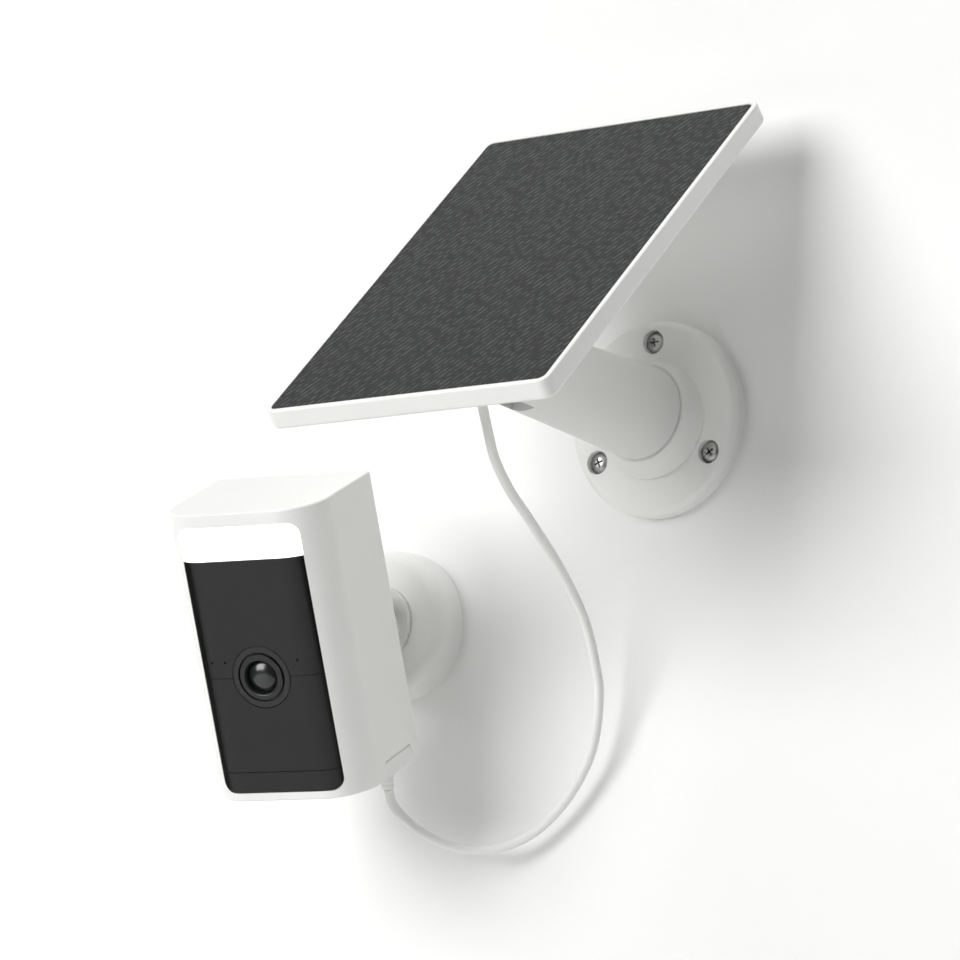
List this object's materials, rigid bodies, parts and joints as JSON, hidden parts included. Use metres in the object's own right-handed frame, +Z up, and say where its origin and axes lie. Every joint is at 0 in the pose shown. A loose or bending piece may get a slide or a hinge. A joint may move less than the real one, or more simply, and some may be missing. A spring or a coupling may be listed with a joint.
{
  "type": "solar security camera",
  "caption": "Wall camera on a swivel mount, fed by a cord from a solar panel on a jointed wall arm.",
  "frame": {"origin": "centre of the solar panel's wall base, on the wall", "axes": "+Z up, +Y into the wall, so the part stands out along -Y; +X to the right as one faces the wall"},
  "size_m": [0.2047, 0.1548, 0.2613],
  "materials": {
    "arm_base_plate": "white moulded plastic, fine texture",
    "arm_friction_ring": "natural acetal",
    "arm_retaining_screw": "zinc-plated steel",
    "arm_retaining_washer": "zinc-plated steel",
    "arm_tube": "off-white moulded plastic, satin",
    "battery_cell_left": "shrink-sleeved cell",
    "battery_cell_right": "shrink-sleeved cell",
    "bracket_screw_1": "zinc-plated steel",
    "bracket_screw_2": "zinc-plated steel",
    "cable_gland": "light grey flexible jacket",
    "camera_base_plate": "natural acetal",
    "camera_base_screw_1": "zinc-plated steel",
    "camera_base_screw_2": "zinc-plated steel",
    "camera_base_shell": "white moulded plastic, fine texture",
    "camera_stem": "zinc-plated steel",
    "charge_board": "green solder-mask board",
    "charge_port": "black moulded plastic",
    "cord_plug": "light grey flexible jacket",
    "cord_relief": "light grey flexible jacket",
    "cover_screw_1": "zinc-plated steel",
    "cover_screw_2": "zinc-plated steel",
    "cover_screw_3": "zinc-plated steel",
    "cover_screw_4": "zinc-plated steel",
    "front_window": "gloss black",
    "housing_shell": "white moulded plastic, fine satin texture",
    "knuckle_bolt": "zinc-plated steel",
    "knuckle_nut": "zinc-plated steel",
    "lens_barrel": "black moulded plastic",
    "lens_bezel": "black moulded plastic",
    "lens_glass": "coated dark lens glass",
    "lock_ring": "black moulded plastic",
    "lower_trim": "gloss black",
    "main_board": "green solder-mask board",
    "microphone": "drawn metal can",
    "motion_sensor": "drawn metal can",
    "mount_insert": "turned brass",
    "panel_bracket": "off-white moulded plastic, satin",
    "panel_frame": "white moulded frame, satin",
    "port_flap": "white silicone rubber",
    "power_button": "white silicone rubber",
    "power_cord": "light grey flexible jacket",
    "rear_cover": "white moulded plastic, fine satin texture",
    "sensor_board": "green solder-mask board",
    "solar_cells": "silicon cells with fine silver lines",
    "solar_glass": "dark solar laminate, satin top sheet",
    "speaker": "black moulded plastic",
    "spotlight_board": "green solder-mask board",
    "spotlight_led_left": "phosphor-coated light package",
    "spotlight_led_right": "phosphor-coated light package",
    "spotlight_lens": "milky light diffuser",
    "swivel_turret": "off-white moulded plastic, satin",
    "sync_button": "white silicone rubber",
    "tilt_bolt": "zinc-plated steel",
    "tilt_nut": "zinc-plated steel",
    "turret_clip": "zinc-plated steel",
    "wall_screw_1": "zinc-plated steel",
    "wall_screw_2": "zinc-plated steel",
    "wall_screw_3": "zinc-plated steel"
  },
  "bodies": {
    "wall_mounts": {"arm_base_plate": "arm_base_plate", "wall_screw_1": "wall_screw_1", "wall_screw_2": "wall_screw_2", "wall_screw_3": "wall_screw_3", "arm_friction_ring": "arm_friction_ring", "arm_retaining_screw": "arm_retaining_screw", "arm_retaining_washer": "arm_retaining_washer", "camera_base_shell": "camera_base_shell", "camera_base_plate": "camera_base_plate", "camera_base_screw_1": "camera_base_screw_1", "camera_base_screw_2": "camera_base_screw_2", "power_cord": "power_cord"},
    "arm": {"arm_tube": "arm_tube", "tilt_bolt": "tilt_bolt", "tilt_nut": "tilt_nut"},
    "panel": {"panel_frame": "panel_frame", "solar_glass": "solar_glass", "solar_cells": "solar_cells", "charge_board": "charge_board", "panel_bracket": "panel_bracket", "bracket_screw_1": "bracket_screw_1", "bracket_screw_2": "bracket_screw_2", "cable_gland": "cable_gland"},
    "turret": {"swivel_turret": "swivel_turret", "turret_clip": "turret_clip", "knuckle_bolt": "knuckle_bolt", "knuckle_nut": "knuckle_nut"},
    "stem": {"camera_stem": "camera_stem"},
    "lock_ring": {"lock_ring": "lock_ring"},
    "camera": {"housing_shell": "housing_shell", "rear_cover": "rear_cover", "front_window": "front_window", "spotlight_lens": "spotlight_lens", "lower_trim": "lower_trim", "lens_bezel": "lens_bezel", "lens_glass": "lens_glass", "lens_barrel": "lens_barrel", "sensor_board": "sensor_board", "main_board": "main_board", "spotlight_board": "spotlight_board", "spotlight_led_left": "spotlight_led_left", "spotlight_led_right": "spotlight_led_right", "motion_sensor": "motion_sensor", "microphone": "microphone", "speaker": "speaker", "battery_cell_left": "battery_cell_left", "battery_cell_right": "battery_cell_right", "mount_insert": "mount_insert", "charge_port": "charge_port", "cord_plug": "cord_plug", "cord_relief": "cord_relief", "cover_screw_1": "cover_screw_1", "cover_screw_2": "cover_screw_2", "cover_screw_3": "cover_screw_3", "cover_screw_4": "cover_screw_4"},
    "port_flap": {"port_flap": "port_flap"},
    "power_button": {"power_button": "power_button"},
    "sync_button": {"sync_button": "sync_button"}
  },
  "joints": [
    {"name": "arm_swivel", "type": "hinge", "parent": "wall_mounts", "child": "arm", "pos_m": [0, 0, 0], "axis": [0, -0.9972, 0.075], "range_deg": [-45, 30], "deforming": ["power_cord"]},
    {"name": "panel_tilt", "type": "hinge", "parent": "arm", "child": "panel", "pos_m": [0, -0.09673, 0.00727], "axis": [1, 0, 0], "range_deg": [-13, 45], "deforming": ["power_cord"]},
    {"name": "turret_swivel", "type": "hinge", "parent": "wall_mounts", "child": "turret", "pos_m": [-0.1168, 0, -0.068], "axis": [0, -1, 0], "range_deg": [-90, 90], "deforming": ["power_cord"]},
    {"name": "camera_tilt", "type": "hinge", "parent": "turret", "child": "stem", "pos_m": [-0.1168, -0.0228, -0.068], "axis": [0.9236, 0, 0.3834], "range_deg": [-60, 25], "deforming": ["power_cord"]},
    {"name": "camera_roll", "type": "hinge", "parent": "stem", "child": "camera", "pos_m": [-0.1168, -0.0228, -0.068], "axis": [0.1682, -0.8987, -0.4051], "range_deg": [-30, 30], "deforming": ["power_cord"]},
    {"name": "lock_ring_turn", "type": "hinge", "parent": "stem", "child": "lock_ring", "pos_m": [-0.1168, -0.0228, -0.068], "axis": [0.1682, -0.8987, -0.4051], "range_deg": [-180, 180]},
    {"name": "flap_hinge", "type": "hinge", "parent": "camera", "child": "port_flap", "pos_m": [-0.08045, -0.0504, -0.12176], "axis": [-0.1682, 0.8987, 0.4051], "range_deg": [-95, 0]},
    {"name": "power_press", "type": "slide", "parent": "camera", "child": "power_button", "axis": [0.0745, -0.3982, 0.9143], "range_m": [0, 0.0008], "stiffness_N_per_m": 1200, "springref_m": -0.0004},
    {"name": "sync_press", "type": "slide", "parent": "camera", "child": "sync_button", "axis": [0.0745, -0.3982, 0.9143], "range_m": [0, 0.0008], "stiffness_N_per_m": 1200, "springref_m": -0.0004}
  ]
}
